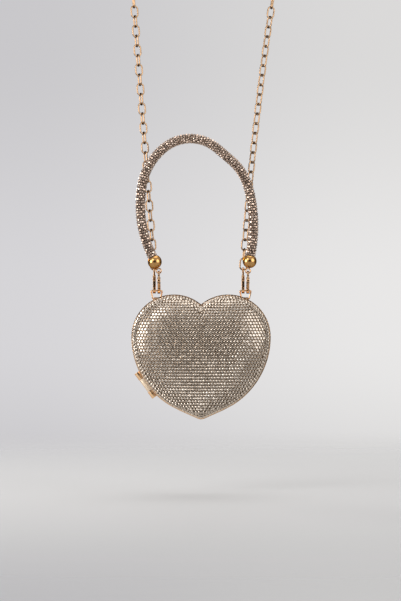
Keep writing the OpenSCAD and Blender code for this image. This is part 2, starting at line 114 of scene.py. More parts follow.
def metalCopy(name, node, body, material, edge=0.0, voxel=0.0, rounds=0, refine=None):
    # a copy of a solid with broken edges, or rounded all over as a casting is
    mesh = frame["nodes"][node].data.copy()
    mesh.name = name
    bm = bmesh.new()
    bm.from_mesh(mesh)
    bmesh.ops.remove_doubles(bm, verts=bm.verts, dist=copying["weld"] * mm)
    bmesh.ops.dissolve_limit(bm, angle_limit=math.radians(copying["flatAngle"]), verts=bm.verts, edges=bm.edges)
    bmesh.ops.recalc_face_normals(bm, faces=bm.faces)
    if refine:
        refine(bm)
    bm.to_mesh(mesh)
    bm.free()
    mesh.materials.clear()
    mesh.materials.append(material)
    piece = addObject(name, mesh)
    mesh.shade_smooth()
    if voxel:
        remesh = piece.modifiers.new("cast", "REMESH")
        remesh.mode = "VOXEL"
        remesh.voxel_size = voxel * mm
        soften = piece.modifiers.new("soften", "SMOOTH")
        soften.factor, soften.iterations = copying["softening"], rounds
    if edge:
        bevel = piece.modifiers.new("brokenEdge", "BEVEL")
        bevel.width = edge * mm
        bevel.segments = copying["bevelSteps"]
        bevel.limit_method = "ANGLE"
        bevel.angle_limit = math.radians(copying["sharpAngle"])
        bevel.harden_normals = True
    bakeModifiers(piece)
    if not edge:
        piece.data.shade_smooth()
    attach(piece, body)
    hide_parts(node)
    return piece


# Helpers for shader trees


def setAll(tree, sockets, values):
    # each value is a number, a colour or the output of another node
    for name, value in values.items():
        if isinstance(value, bpy.types.NodeSocket):
            tree.links.new(value, sockets[name])
        else:
            sockets[name].default_value = value


def addNode(tree, kind, inputs=None, **properties):
    node = tree.nodes.new(kind)
    for name, value in properties.items():
        setattr(node, name, value)
    setAll(tree, node.inputs, inputs or {})
    return node


def objectSpace(tree):
    return addNode(tree, "ShaderNodeTexCoord").outputs["Object"]


def spreadOf(tree, value, low, high, to=(0.0, 1.0), kind="LINEAR"):
    # the range from low to high, stretched to the range given
    inputs = {"Value": value, "From Min": low, "From Max": high, "To Min": to[0], "To Max": to[1]}
    return addNode(tree, "ShaderNodeMapRange", inputs, interpolation_type=kind).outputs["Result"]


def blendOf(tree, factor, first, second):
    return addNode(tree, "ShaderNodeMix", {0: factor, 6: first, 7: second}, data_type="RGBA").outputs[2]


def mathOf(tree, operation, first, second):
    return addNode(tree, "ShaderNodeMath", {0: first, 1: second}, operation=operation).outputs["Value"]


def bumpOf(tree, height, strength, distance):
    inputs = {"Height": height, "Strength": strength, "Distance": distance}
    return addNode(tree, "ShaderNodeBump", inputs).outputs["Normal"]


def noiseOf(tree, where, scale, detail, roughness=0.5):
    inputs = {"Vector": where, "Scale": scale, "Detail": detail, "Roughness": roughness}
    return addNode(tree, "ShaderNodeTexNoise", inputs).outputs["Fac"]


def stretched(tree, where, scale, turn=(0.0, 0.0, 0.0)):
    inputs = {"Vector": where, "Rotation": turn, "Scale": scale}
    return addNode(tree, "ShaderNodeMapping", inputs).outputs["Vector"]


def paintedEdgeTone(tree, colour, paintedEdge, blend):
    # painted edge tone: a surface that turns away from the view takes another colour, a painted darker reflection on
    # the metals and a painted golden sheen on the stones
    slant = addNode(tree, "ShaderNodeLayerWeight", {"Blend": blend})
    return blendOf(tree, slant.outputs["Facing"], colour, paintedEdge)


def opaque(colour):
    return (*colour, 1.0)


# Shader groups that materials share

white = opaque((1.0, 1.0, 1.0))


def newGroup(name, inputs, outputs):
    # a number makes a value socket, and a colour makes a colour socket
    group = bpy.data.node_groups.new(name, "ShaderNodeTree")
    for side, sockets in (("INPUT", inputs), ("OUTPUT", outputs)):
        for label, value in sockets.items():
            kind = "NodeSocketColor" if isinstance(value, tuple) else "NodeSocketFloat"
            group.interface.new_socket(name=label, in_out=side, socket_type=kind).default_value = value
    return group, group.nodes.new("NodeGroupInput").outputs, group.nodes.new("NodeGroupOutput").inputs


def useGroup(tree, group, **values):
    node = tree.nodes.new("ShaderNodeGroup")
    node.node_tree = group
    setAll(tree, node.inputs, values)
    return node.outputs


def makePolishGroup():
    # faint cloudiness and hairline marks of handled, polished metal
    group, given, out = newGroup("handledPolish", {"Low": 0.1, "High": 0.2}, {"Roughness": 0.0, "Height": 0.0})
    where = objectSpace(group)
    rough = spreadOf(group, noiseOf(group, where, 300.0, 5.0, 0.6), 0.3, 0.7, (given["Low"], given["High"]))
    hairlines = noiseOf(group, stretched(group, where, (9000.0, 700.0, 900.0), (0.4, 0.9, 0.3)), 1.0, 2.0)
    setAll(group, out, {"Roughness": rough, "Height": hairlines})
    return group


def makeCreviceShadeGroup():
    # painted shade: a colour that darkens where the metal meets something, read from ambient occlusion, where shade
    # falls in crevices
    group, given, out = newGroup("paintedCreviceShade", {"Open": white, "Deep": white}, {"Colour": white})
    near = addNode(group, "ShaderNodeAmbientOcclusion", {"Distance": 0.9 * mm}, samples=6)
    openness = spreadOf(group, near.outputs["AO"], 0.25, 0.85)
    setAll(group, out, {"Colour": blendOf(group, openness, given["Deep"], given["Open"])})
    return group


def makeStoneGroup():
    # each stone's own colour, from the number that its points carry
    group, given, out = newGroup(
        "stoneShade", {"Pale": white, "Middle": white, "Deep": white}, {"Colour": white, "Roughness": 0.0}
    )
    tone = addNode(group, "ShaderNodeAttribute", attribute_name="stoneTone").outputs["Fac"]
    darker = blendOf(group, spreadOf(group, tone, 0.0, 0.5), given["Deep"], given["Middle"])
    colour = blendOf(group, spreadOf(group, tone, 0.5, 1.0), darker, given["Pale"])
    film = noiseOf(group, objectSpace(group), 220.0, 3.0)
    rough = spreadOf(group, film, 0.3, 0.75, (0.14, 0.27))
    setAll(group, out, {"Colour": colour, "Roughness": rough})
    return group


def makeWeaveGroup():
    # crossing threads, and the slubs that run along them
    group, given, out = newGroup("clothWeave", {"Threads": 2600.0}, {"Height": 0.0, "Slub": 0.0})
    where = objectSpace(group)
    inputs = {"Vector": where, "Scale": given["Threads"], "Distortion": 0.6, "Detail": 1.0, "Detail Scale": 2.0}
    threads = [addNode(group, "ShaderNodeTexWave", inputs, bands_direction=axis).outputs["Fac"] for axis in "XZ"]
    slub = noiseOf(group, stretched(group, where, (900.0, 900.0, 60.0)), 1.0, 3.0)
    setAll(group, out, {"Height": mathOf(group, "MAXIMUM", *threads), "Slub": slub})
    return group


polishGroup, creviceShadeGroup = makePolishGroup(), makeCreviceShadeGroup()
stoneGroup, weaveGroup = makeStoneGroup(), makeWeaveGroup()

# Materials

metals = {
    # colour straight on, painted shade in crevices, the painted edge tone where the surface turns away, how soon it
    # sets in, and the range of roughness
    "roseGold": {
        "open": (0.84, 0.52, 0.28), "deep": (0.16, 0.08, 0.035), "paintedEdge": (0.09, 0.045, 0.02),
        "paintedEdgeBlend": 0.66, "rough": (0.08, 0.18),
    },
    # rose gold painted darker on the strap's links, as painted shade
    "linkGoldPaintedDarker": {
        "open": (0.70, 0.45, 0.26), "deep": (0.10, 0.05, 0.025), "paintedEdge": (0.03, 0.018, 0.01),
        "paintedEdgeBlend": 0.8, "rough": (0.08, 0.18),
    },
    # rose gold painted lighter on the rims, as painted light
    "rimGoldPaintedLighter": {
        "open": (0.95, 0.66, 0.42), "deep": (0.3, 0.17, 0.09), "paintedEdge": (0.85, 0.60, 0.42),
        "paintedEdgeBlend": 0.3, "rough": (0.16, 0.26),
    },
    # rose gold painted lighter on the hinge's ends, as painted light
    "hingeGoldPaintedLighter": {
        "open": (1.0, 0.68, 0.40), "deep": (0.2, 0.11, 0.05), "paintedEdge": (0.75, 0.42, 0.20),
        "paintedEdgeBlend": 0.3, "rough": (0.12, 0.22),
    },
    "paleGold": {
        "open": (0.98, 0.80, 0.60), "deep": (0.36, 0.25, 0.16), "paintedEdge": (0.80, 0.62, 0.45),
        "paintedEdgeBlend": 0.3, "rough": (0.34, 0.46),
    },
    "yellowGold": {
        "open": (0.55, 0.31, 0.115), "deep": (0.2, 0.11, 0.02), "paintedEdge": (0.34, 0.17, 0.05),
        "paintedEdgeBlend": 0.4, "rough": (0.14, 0.22),
    },
    "nickel": {
        "open": (0.62, 0.60, 0.57), "deep": (0.12, 0.11, 0.1), "paintedEdge": (0.4, 0.38, 0.36),
        "paintedEdgeBlend": 0.3, "rough": (0.2, 0.35),
    },
}

stoneColours = {
    # the palest, middle and darkest stones, and the painted golden sheen on the sides that turn away
    "champagneStone": ((0.65, 0.60, 0.54), (0.31, 0.282, 0.25), (0.21, 0.17, 0.14), (1.0, 0.80, 0.60)),
    "brownStone": ((0.70, 0.57, 0.48), (0.38, 0.285, 0.225), (0.12, 0.085, 0.065), (0.60, 0.42, 0.30)),
}


def newMaterial(name):
    material = bpy.data.materials.new(name)
    material.use_nodes = True
    tree = material.node_tree
    return material, tree, tree.nodes["Principled BSDF"].inputs


def makeMetal(name):
    values = metals[name]
    material, tree, shader = newMaterial(name)
    seen, deep, paintedEdge = (opaque(values[k]) for k in ("open", "deep", "paintedEdge"))
    # painted shade: the colour darkens in crevices
    tone = useGroup(tree, creviceShadeGroup, Open=seen, Deep=deep)["Colour"]
    low, high = values["rough"]
    polish = useGroup(tree, polishGroup, Low=low, High=high)
    setAll(tree, shader, {
        "Metallic": 1.0,
        # painted darker reflection where the metal turns away from the view
        "Base Color": paintedEdgeTone(tree, tone, paintedEdge, values["paintedEdgeBlend"]),
        "Specular Tint": paintedEdge,
        "Roughness": polish["Roughness"],
        "Normal": bumpOf(tree, polish["Height"], strength=0.06, distance=0.2 * mm),
    })
    return material


def makeStone(name):
    pale, middle, deep, paintedEdge = (opaque(c) for c in stoneColours[name])
    material, tree, shader = newMaterial(name)
    shade = useGroup(tree, stoneGroup, Pale=pale, Middle=middle, Deep=deep)
    setAll(tree, shader, {
        # painted golden sheen where the stones turn away from the view
        "Base Color": paintedEdgeTone(tree, shade["Colour"], paintedEdge, 0.5),
        "Roughness": shade["Roughness"],
        "Metallic": 0.94,
        "Coat Weight": 0.3,
        "Coat Roughness": 0.03,
        "Coat IOR": 1.6,
    })
    return material


def makeBed(name, colour, grain):
    # the cup chain and glue between the stones
    material, tree, shader = newMaterial(name)
    cups = addNode(tree, "ShaderNodeTexVoronoi", {"Vector": objectSpace(tree), "Scale": grain}).outputs["Distance"]
    setAll(tree, shader, {
        "Base Color": blendOf(tree, cups, opaque(colour), opaque(0.45 * c for c in colour)),
        "Metallic": 0.7,
        "Roughness": 0.42,
        "Normal": bumpOf(tree, cups, strength=0.5, distance=0.3 * mm),
    })
    return material


def makePlastic():
    material, tree, shader = newMaterial("glossBlack")
    peel = noiseOf(tree, objectSpace(tree), 650.0, 3.0)
    setAll(tree, shader, {
        "Base Color": blendOf(tree, peel, (0.012, 0.011, 0.011, 1.0), (0.03, 0.027, 0.026, 1.0)),
        "Roughness": 0.22,
        "Normal": bumpOf(tree, peel, strength=0.15, distance=0.4 * mm),
    })
    return material


def makeRubber():
    material, tree, shader = newMaterial("coreRubber")
    grain = noiseOf(tree, objectSpace(tree), 1400.0, 4.0)
    setAll(tree, shader, {
        "Base Color": (0.02, 0.02, 0.02, 1.0),
        "Roughness": spreadOf(tree, grain, 0.0, 1.0, (0.6, 0.85)),
        "Normal": bumpOf(tree, grain, strength=0.4, distance=0.3 * mm),
    })
    return material


def makeSatin():
    material, tree, shader = newMaterial("satinLining")
    weave = useGroup(tree, weaveGroup)
    setAll(tree, shader, {
        "Base Color": blendOf(tree, weave["Slub"], (0.34, 0.245, 0.18, 1.0), (0.46, 0.345, 0.26, 1.0)),
        "Roughness": 0.4,
        "Sheen Weight": 0.5,
        "Sheen Roughness": 0.35,
        "Sheen Tint": (1.0, 0.9, 0.8, 1.0),
        "Normal": bumpOf(tree, weave["Height"], strength=0.35, distance=0.12 * mm),
    })
    return material


roseGold, linkGoldPaintedDarker, rimGoldPaintedLighter, hingeGoldPaintedLighter, paleGold, yellowGold, nickel = (makeMetal(n) for n in metals)
champagneStone, brownStone = (makeStone(n) for n in stoneColours)
skinBed = makeBed("skinBed", (0.15, 0.10, 0.06), 420.0)
sleeveBed = makeBed("sleeveBed", (0.03, 0.021, 0.016), 700.0)
glossBlack, coreRubber, satinLining = makePlastic(), makeRubber(), makeSatin()
say("materials are made")

# The camera, just below the rings' bars and straight from the front

viewpoint = {
    "pixelSize": 0.935, "photoHeight": 601, "distance": 2200.0, "left": 0.5, "belowBars": 9.2, "sensor": 36.0,
    "clip": (50.0, 50000.0),
}


def makeCamera():
    view = bpy.data.cameras.new("camera")
    view.sensor_width = viewpoint["sensor"]
    view.lens = viewpoint["sensor"] * viewpoint["distance"] / (viewpoint["pixelSize"] * viewpoint["photoHeight"])
    view.clip_start, view.clip_end = (c * mm for c in viewpoint["clip"])
    camera = addObject("camera", view)
    height = places["rings_swing"][2] - viewpoint["belowBars"]
    camera.location = Vector((-viewpoint["left"], -viewpoint["distance"], height)) * mm
    camera.rotation_euler = (math.radians(90), 0, 0)
    bpy.context.scene.camera = camera


makeCamera()

# The heart's outline and domes, in a plan whose line y = 0 is the widest

heart = {
    "width": 130.0,
    "lobeRadius": 39.6,
    "sideRadius": 75.0,
    "sideTurn": 66.0,
    "tipRadius": 8.0,
    "tipSteps": 12,
    "rimDepth": 4.0,
    "skinInset": 1.2,
    "domeHeight": 21.0,
    "domePower": 2.3,
    "ringX": 41.5,
    "lugSink": 0.6,
    "valleySoftening": 13.0,
    "valleyFade": 0.3,
    "tableStep": 0.5,
    "tableSteps": 200,
}
heart["centreY"] = -0.2 * heart["lobeRadius"]
lobeX = heart["width"] / 2 - heart["lobeRadius"]
partingY = places["front_opens"][1]
lobeArch = math.sqrt(heart["lobeRadius"] ** 2 - (heart["ringX"] - lobeX) ** 2)
lobeZ = places["purse_swing"][2] + heart["lugSink"] - lobeArch


def outlineArcs():
    # centre and radius of the right side's lobe, flank and tip
    lobe, side, turn, tip = (heart[k] for k in ("lobeRadius", "sideRadius", "sideTurn", "tipRadius"))
    sideX = heart["width"] / 2 - side
    tipY = -(math.cos(math.radians(turn)) * sideX + side - tip) / math.sin(math.radians(turn))
    return (np.array([lobeX, 0.0]), lobe), (np.array([sideX, 0.0]), side), (np.array([0.0, tipY]), tip)


def heartOutline(inset, steps):
    # closed, clockwise from the notch
    def arc(place, a, b, n):
        (centre, radius), t = place, np.radians(np.linspace(a, b, n + 1))
        return centre + (radius - inset) * np.stack([np.cos(t), np.sin(t)], 1)

    lobe, side, tip = outlineArcs()
    start, turn = math.degrees(math.acos(-lobeX / (lobe[1] - inset))), heart["sideTurn"]
    toTip = arc(tip, -turn, -90, heart["tipSteps"])[1:]
    right = np.concatenate([arc(lobe, start, 0, steps), arc(side, 0, -turn, steps)[1:], toTip])
    return np.concatenate([right, right[-2:0:-1] * (-1, 1)])


def domeTable(inset):
    # the outline's distance from the dome's centre by angle, as it is and softened at the notch
    edge = heartOutline(inset, heart["tableSteps"])
    angles = np.degrees(np.arctan2(edge[:, 1] - heart["centreY"], edge[:, 0]))
    radii = np.hypot(edge[:, 0], edge[:, 1] - heart["centreY"])
    order = np.argsort(angles)
    step = heart["tableStep"]
    even = np.arange(-180.0, 180.0, step)
    sharp = np.interp(even, angles[order], radii[order], period=360)
    spread = heart["valleySoftening"]
    offsets = np.arange(-3 * spread, 3 * spread + step, step)
    weights = np.exp(-((offsets / spread) ** 2) / 2)
    soft = sum(w * np.roll(sharp, int(o / step)) for w, o in zip(weights, offsets)) / weights.sum()
    lift = np.maximum(0, soft - sharp) * np.clip(np.sin(np.radians(even)), 0, 1)
    return {"angles": even, "sharp": sharp, "lift": lift}


def domeShare(table, x, y):
    # 0 at the dome's centre and 1 at its edge
    angle = np.degrees(np.arctan2(y - heart["centreY"], x))
    away = np.hypot(x, y - heart["centreY"])
    sharp = np.interp(angle, table["angles"], table["sharp"], period=360)
    lift = np.interp(angle, table["angles"], table["lift"], period=360)
    fade = np.clip((1 - away / sharp) / heart["valleyFade"], 0, 1)
    return away / (sharp + lift * fade * fade * (3 - 2 * fade))


def domeRise(table, height, x, y):
    power = heart["domePower"]
    share = np.clip(domeShare(table, x, y), 0, 1)
    return height * (1 - share**power) ** (1 / power)


def domeNormal(table, height, x, y):
    power, step = heart["domePower"], 0.05
    share = np.clip(domeShare(table, x, y), 1e-4, 1)
    rise = domeRise(table, height, x, y)
    alongX = (domeShare(table, x + step, y) - domeShare(table, x - step, y)) / (2 * step)
    alongY = (domeShare(table, x, y + step) - domeShare(table, x, y - step)) / (2 * step)
    normal = np.stack(
        [share ** (power - 1) * alongX, share ** (power - 1) * alongY, (rise / height) ** (power - 1) / height], -1
    )
    return normal / np.linalg.norm(normal, axis=-1, keepdims=True)


def turnToHalf(plan, half):
    # the front half's depth is towards -Y
    forward = -1.0 if half == "front" else 1.0
    return np.stack([plan[..., 0], forward * plan[..., 2], plan[..., 1]], -1)


def toHalf(plan, half):
    # plan x, plan y and depth above the parting plane, to the frame
    return np.array([0.0, partingY, lobeZ]) + turnToHalf(plan, half)


def domeRings(inset, height, rings, steps, lift=None, softValley=True):
    # rings of points from the edge to near the crown, as plan x, plan y and depth
    table = domeTable(inset)
    if not softValley:
        table["lift"][:] = 0
    edge = heartOutline(inset, steps)
    centre = np.array([0.0, heart["centreY"]])
    made = []
    for j in range(rings):
        share = math.cos(math.pi / 2 * j / rings) ** (2 / heart["domePower"])
        flat = centre + (edge - centre) * share
        rise = domeRise(table, height, flat[:, 0], flat[:, 1])
        if j == 0:
            rise[:] = 0
        if lift is not None:
            rise = rise - lift(flat, share)
        made.append(np.column_stack([flat, heart["rimDepth"] + rise]))
    return made, np.array([0.0, heart["centreY"], heart["rimDepth"] + height])


def domeShell(outer, inner):
    # a closed thin shell between two sets of rings of one length
    (outerRings, outerCrown), (innerRings, innerCrown) = outer, inner
    n = len(outerRings[0])
    points = np.concatenate([*outerRings, [outerCrown], *innerRings, [innerCrown]])
    faces = []
    for start, rings, flip in ((0, len(outerRings), False), (len(outerRings) * n + 1, len(innerRings), True)):
        for j in range(rings):
            for i in range(n):
                a, b = start + j * n + i, start + j * n + (i + 1) % n
                if j == rings - 1:
                    face = (a, b, start + rings * n)
                else:
                    face = (a, b, b + n, a + n)
                faces.append(face[::-1] if flip else face)
    second = len(outerRings) * n + 1
    for i in range(n):
        k = (i + 1) % n
        faces.append((i, second + i, second + k, k))
    return points, faces


# Stones

skin = {
    "pitch": 3.0,
    "rowPitch": 2.82,
    "edgeRises": (1.45, 4.3, 7.0),
    "stoneRadius": 1.45,
    "closest": 2.7,
    "fillerRadius": 0.95,
    "fillerGap": 2.2,
    "sink": 0.3,
    "bedDrop": 0.62,
    "bedThickness": 0.4,
    "tilt": 1.2,
    "sides": 8,
    "toneSpread": 0.1,
    "spin": 0.2,
    "bedRings": 22,
    "bedSteps": 60,
    # how much closer the rows along the edge may come, and where level rows and the stones in gaps end
    "edgeSlack": 0.25,
    "rowOverlap": 0.015,
    "lastShare": 0.985,
    # the plan's right and lower bound for rows, and the level and fade of the line along which they are spaced
    "right": 70.0,
    "bottom": -80.0,
    "guideFrom": -50.0,
    "guideFade": 60.0,
    "edgeSteps": 120,
    "walk": 0.1,
    "probe": 0.5,
    "spotsX": (-64.0, 64.1),
    "spotsY": (39.0, -78.0),
}
stoneCut = {"table": 0.57, "crown": 0.36, "foot": 0.9, "skirt": 0.45, "sizes": (0.96, 1.02), "middleTone": 0.55}


def lengthsAlong(line):
    return np.concatenate([[0], np.cumsum(np.linalg.norm(np.diff(line, axis=0), axis=1))])


def spacedAlong(line, pitch):
    # a whole number of points, evenly spaced along a closed line
    line = np.concatenate([line, line[:1]])
    gone = lengthsAlong(line)
    count = max(3, round(gone[-1] / pitch))
    at = np.arange(count) * gone[-1] / count
    return np.stack([np.interp(at, gone, line[:, k]) for k in range(line.shape[1])], 1)


def keepApart(placed, wanted, gap):
    # the wanted points that lie at least gap from all the others
    cells, kept = {}, []

    def cellOf(p):
        return tuple(int(c // gap) for c in p)

    def isFree(p):
        around = itertools.product(*((c - 1, c, c + 1) for c in cellOf(p)))
        return not any(
            (p[0] - q[0]) ** 2 + (p[1] - q[1]) ** 2 + (p[2] - q[2]) ** 2 < gap * gap
            for cell in around for q in cells.get(cell, ())
        )

    for p in placed:
        cells.setdefault(cellOf(p), []).append(p)
    for p in wanted:
        if isFree(p):
            cells.setdefault(cellOf(p), []).append(p)
            kept.append(p)
    return kept


def skinPlaces():
    # where the stones of one half sit: rows along the edge, level rows over the rest, and stones in the gaps
    table, height = domeTable(heart["skinInset"]), heart["domeHeight"]
    power, depth, pitch = heart["domePower"], heart["rimDepth"], skin["pitch"]
    centre = np.array([0.0, heart["centreY"]])
    edge = heartOutline(heart["skinInset"], skin["edgeSteps"])

    def shareAt(rise):
        return (1 - (rise / height) ** power) ** (1 / power)

    def across(x, y):
        level = np.full_like(x, y)
        return domeShare(table, x, level), domeRise(table, height, x, level)

    placed = []
    for rise in skin["edgeRises"]:
        flat = centre + (edge - centre) * shareAt(rise)
        line = np.column_stack([flat, np.full(len(flat), depth + rise)])
        placed += keepApart(placed, spacedAlong(line, pitch).tolist(), skin["closest"] - skin["edgeSlack"])
    limit = shareAt(skin["edgeRises"][-1]) - skin["rowOverlap"]
    rows, y, number, probe = [], heart["lobeRadius"], 0, skin["probe"]
    x = np.arange(0, skin["right"], skin["walk"])
    while y > skin["bottom"]:
        share, z = across(x, y)
        gone = np.concatenate([[0], np.cumsum(np.hypot(np.diff(x), np.diff(z)))])
        first = 0.5 * (number % 2)
        for k in range(int(gone[-1] / pitch) + 1):
            along = (k + first) * pitch
            at = np.searchsorted(gone, along)
            if at < len(x) and share[at] < limit:
                rows += [[side * x[at], y, depth + z[at]] for side in ((1,) if along == 0 else (1, -1))]
        guide = lobeX * min(1.0, max(0.0, (y - skin["guideFrom"]) / skin["guideFade"]))
        here, there = (float(domeRise(table, height, guide, v)) for v in (y, y - probe))
        y -= skin["rowPitch"] * probe / math.hypot(probe, there - here)
        number += 1
    placed += keepApart(placed, rows, skin["closest"])
    spots = []
    x = np.arange(*skin["spotsX"], probe)
    for y in np.arange(*skin["spotsY"], -probe):
        share, z = across(x, y)
        spots += [[a, y, depth + b] for a, b, s in zip(x, z, share) if s < skin["lastShare"]]
    placed += keepApart(placed, spots, skin["closest"])
    fillers = keepApart(placed, spots, skin["fillerGap"])
    radii = np.repeat([skin["stoneRadius"], skin["fillerRadius"]], [len(placed), len(fillers)])
    placed = np.array(placed + fillers)
    return placed, domeNormal(table, height, placed[:, 0], placed[:, 1]), radii


def stoneShape(sides):
    # one stone of radius 1 about its girdle: a flat table, a faceted crown and a skirt into its cup
    def ring(radius, shift, height):
        turns = [2 * math.pi / sides * (i + shift) for i in range(sides)]
        return [(radius * math.cos(t), radius * math.sin(t), height) for t in turns]

    table, crown, foot, skirt = (stoneCut[k] for k in ("table", "crown", "foot", "skirt"))
    points = ring(1, 0, 0) + ring(table, 0.5, crown) + ring(foot, 0, -skirt)
    faces = [tuple(range(sides, 2 * sides))]
    for i in range(sides):
        k = (i + 1) % sides
        faces += [(i, k, sides + i), (k, sides + k, sides + i), (2 * sides + i, 2 * sides + k, k, i)]
    faces.append(tuple(range(3 * sides - 1, 2 * sides - 1, -1)))
    return np.array(points), faces


def setStones(name, at, normals, radius, settings, material, body, seed):
    rng = np.random.default_rng(seed)
    shape, shapeFaces = stoneShape(settings["sides"])
    tilt = np.radians(settings["tilt"])
    normals = normals + rng.normal(0, tilt, normals.shape)
    normals /= np.linalg.norm(normals, axis=1, keepdims=True)
    # any axis that isn't along the normal
    helper = np.where(np.abs(normals[:, [2]]) < 0.9, [[0.0, 0.0, 1.0]], [[1.0, 0.0, 0.0]])
    u = np.cross(helper, normals)
    u /= np.linalg.norm(u, axis=1, keepdims=True)
    v = np.cross(normals, u)
    spin = rng.normal(0, settings["spin"], len(at))
    cosine, sine = np.cos(spin)[:, None], np.sin(spin)[:, None]
    u, v = u * cosine + v * sine, v * cosine - u * sine
    size = radius * rng.uniform(*stoneCut["sizes"], len(at))
    axes = np.stack([u, v, normals], 1) * size[:, None, None]
    points = at[:, None, :] + np.einsum("kc,nca->nka", shape, axes)
    count = len(shape)
    faces = [tuple(i + count * s for i in face) for s in range(len(at)) for face in shapeFaces]
    piece = newPiece(name, points.reshape(-1, 3), faces, material, body, smooth=False)
    tones = np.clip(rng.normal(stoneCut["middleTone"], settings["toneSpread"], len(at)), 0, 1)
    carried = piece.data.attributes.new("stoneTone", "FLOAT", "POINT")
    carried.data.foreach_set("value", np.repeat(tones, count).astype(np.float32))
    return piece


skinAt, skinNormals, skinRadii = skinPlaces()
say("the skin of one half has %d stones" % len(skinAt))


def makeSkin(half, body, node, seed):
    height, inset, drop = heart["domeHeight"], heart["skinInset"], skin["bedDrop"]
    outer, inner = (
        domeRings(inset + d, height - d, skin["bedRings"], skin["bedSteps"])
        for d in (drop, drop + skin["bedThickness"])
    )
    points, faces = domeShell(outer, inner)
    bed = newPiece(half + "SkinBed", toHalf(points, half), faces, skinBed, body)
    faceOutwards(bed)
    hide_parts(node)
    sunk = skinAt - skinNormals * skin["sink"]
    setStones(
        half + "Stones", toHalf(sunk, half), turnToHalf(skinNormals, half), skinRadii,
        skin, champagneStone, body, seed,
    )


makeSkin("front", "front", "front_stones", 11)
makeSkin("rear", "purse", "rear_stones", 12)
say("the skins of stones are set")

# Linings

liningCloth = {
    "inset": 4.1, "height": 18.1, "thickness": 0.7, "rings": 26, "steps": 110,
    "pleats": 46, "pleatDepth": 0.35, "gatherFrom": 0.45, "gatherOver": 0.5, "hem": 9,
    "sway": 1.7, "swayTurns": 5, "slack": 0.3, "waveLength": 14, "slackPower": 6,
}


def makeLining(half, body, node, seed):
    cloth = liningCloth

    def puckers(flat, share):
        # pleats that gather towards the edge, and a loose wave over the middle
        angle = np.arctan2(flat[:, 1] - heart["centreY"], flat[:, 0])
        hem = math.sin(math.pi * min(1, max(0.0, (1 - share) * cloth["hem"])) / 2)
        gather = np.clip((share - cloth["gatherFrom"]) / cloth["gatherOver"], 0, 1) ** 2 * hem
        sway = cloth["sway"] * np.sin(cloth["swayTurns"] * angle + seed)
        pleat = 0.5 + 0.5 * np.sin(cloth["pleats"] * angle + sway)
        size = cloth["waveLength"]
        wave = np.array([0.5 + 0.5 * smoothNoise(Vector((x / size, y / size, seed))) for x, y in flat])
        return cloth["pleatDepth"] * pleat * gather + cloth["slack"] * wave * (1 - share ** cloth["slackPower"])

    points, faces = domeShell(*(
        domeRings(cloth["inset"] + d, cloth["height"] - d, cloth["rings"], cloth["steps"], lift, softValley=False)
        for d, lift in ((0, None), (cloth["thickness"], puckers))
    ))
    piece = newPiece(half + "Lining", toHalf(points, half), faces, satinLining, body)
    faceOutwards(piece)
    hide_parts(node)


makeLining("front", "front", "front_lining", 3)
makeLining("rear", "purse", "rear_lining", 7)
say("the linings are in")

# The handle's sleeve, covered in stones

sleeve = {
    "startHeading": 114.0,
    "bends": ((104, 29.5), (57, 47), (38.5, 78), (50, 34), (135, 25)),
    "runsAfter": (0, 2),
    "leftEyeX": -39.3,
    "rightEyeX": 43.7,
    "loopRadius": 2.2,
    "toTube": 13.9,
    "plug": 6.0,
    "radius": 4.4,
    "boreRadius": 3.35,
    "bedDrop": 0.75,
    "stoneRadius": 1.2,
    "around": 10,
    "rowPitch": 2.35,
    "sink": 0.25,
    "tilt": 4.0,
    "sides": 6,
    "toneSpread": 0.2,
    "spin": 0.5,
    "arcStep": 1.5,
    "leastStep": 0.2,
    "bedSides": 28,
    "stations": 150,
}


def way(heading):
    return np.array([math.cos(math.radians(heading)), math.sin(math.radians(heading))])


def handleLine():
    # points of the sleeve's middle line in the XZ plane, with the heading at each
    eyeZ = places["handle_fold"][2] + sleeve["loopRadius"]
    left, right = np.array([sleeve["leftEyeX"], eyeZ]), np.array([sleeve["rightEyeX"], eyeZ])
    headings = [sleeve["startHeading"]]
    for _, turn in sleeve["bends"]:
        headings.append(headings[-1] - turn)

    def step(r, h, t):
        a, b = math.radians(h), math.radians(h - t)
        return r * np.array([math.sin(a) - math.sin(b), math.cos(b) - math.cos(a)])

    stem = sleeve["toTube"] + sleeve["plug"]
    gone = sum(step(r, h, t) for (r, t), h in zip(sleeve["bends"], headings))
    still = right - left - stem * (way(headings[0]) + way(headings[-1])) - gone
    ways = [way(headings[i + 1]) for i in sleeve["runsAfter"]]
    runs = dict(zip(sleeve["runsAfter"], np.linalg.solve(np.array(ways).T, still)))
    line = [(left + sleeve["toTube"] * way(headings[0]), headings[0])]
    here = left + stem * way(headings[0])
    for i, ((r, t), h) in enumerate(zip(sleeve["bends"], headings)):
        n = math.ceil(r * math.radians(t) / sleeve["arcStep"])
        line += [(here + step(r, h, t * k / n), h - t * k / n) for k in range(n + 1)]
        here = here + step(r, h, t) + runs.get(i, 0.0) * way(headings[i + 1])
        if i in runs:
            line.append((here, headings[i + 1]))
    line.append((right - sleeve["toTube"] * way(headings[-1]), headings[-1]))
    spaced = [line[0]]
    for point, heading in line[1:]:
        # points that lie on each other are taken once
        if np.linalg.norm(point - spaced[-1][0]) > sleeve["leastStep"]:
            spaced.append((point, heading))
    return np.array([p for p, _ in spaced]), np.array([h for _, h in spaced])


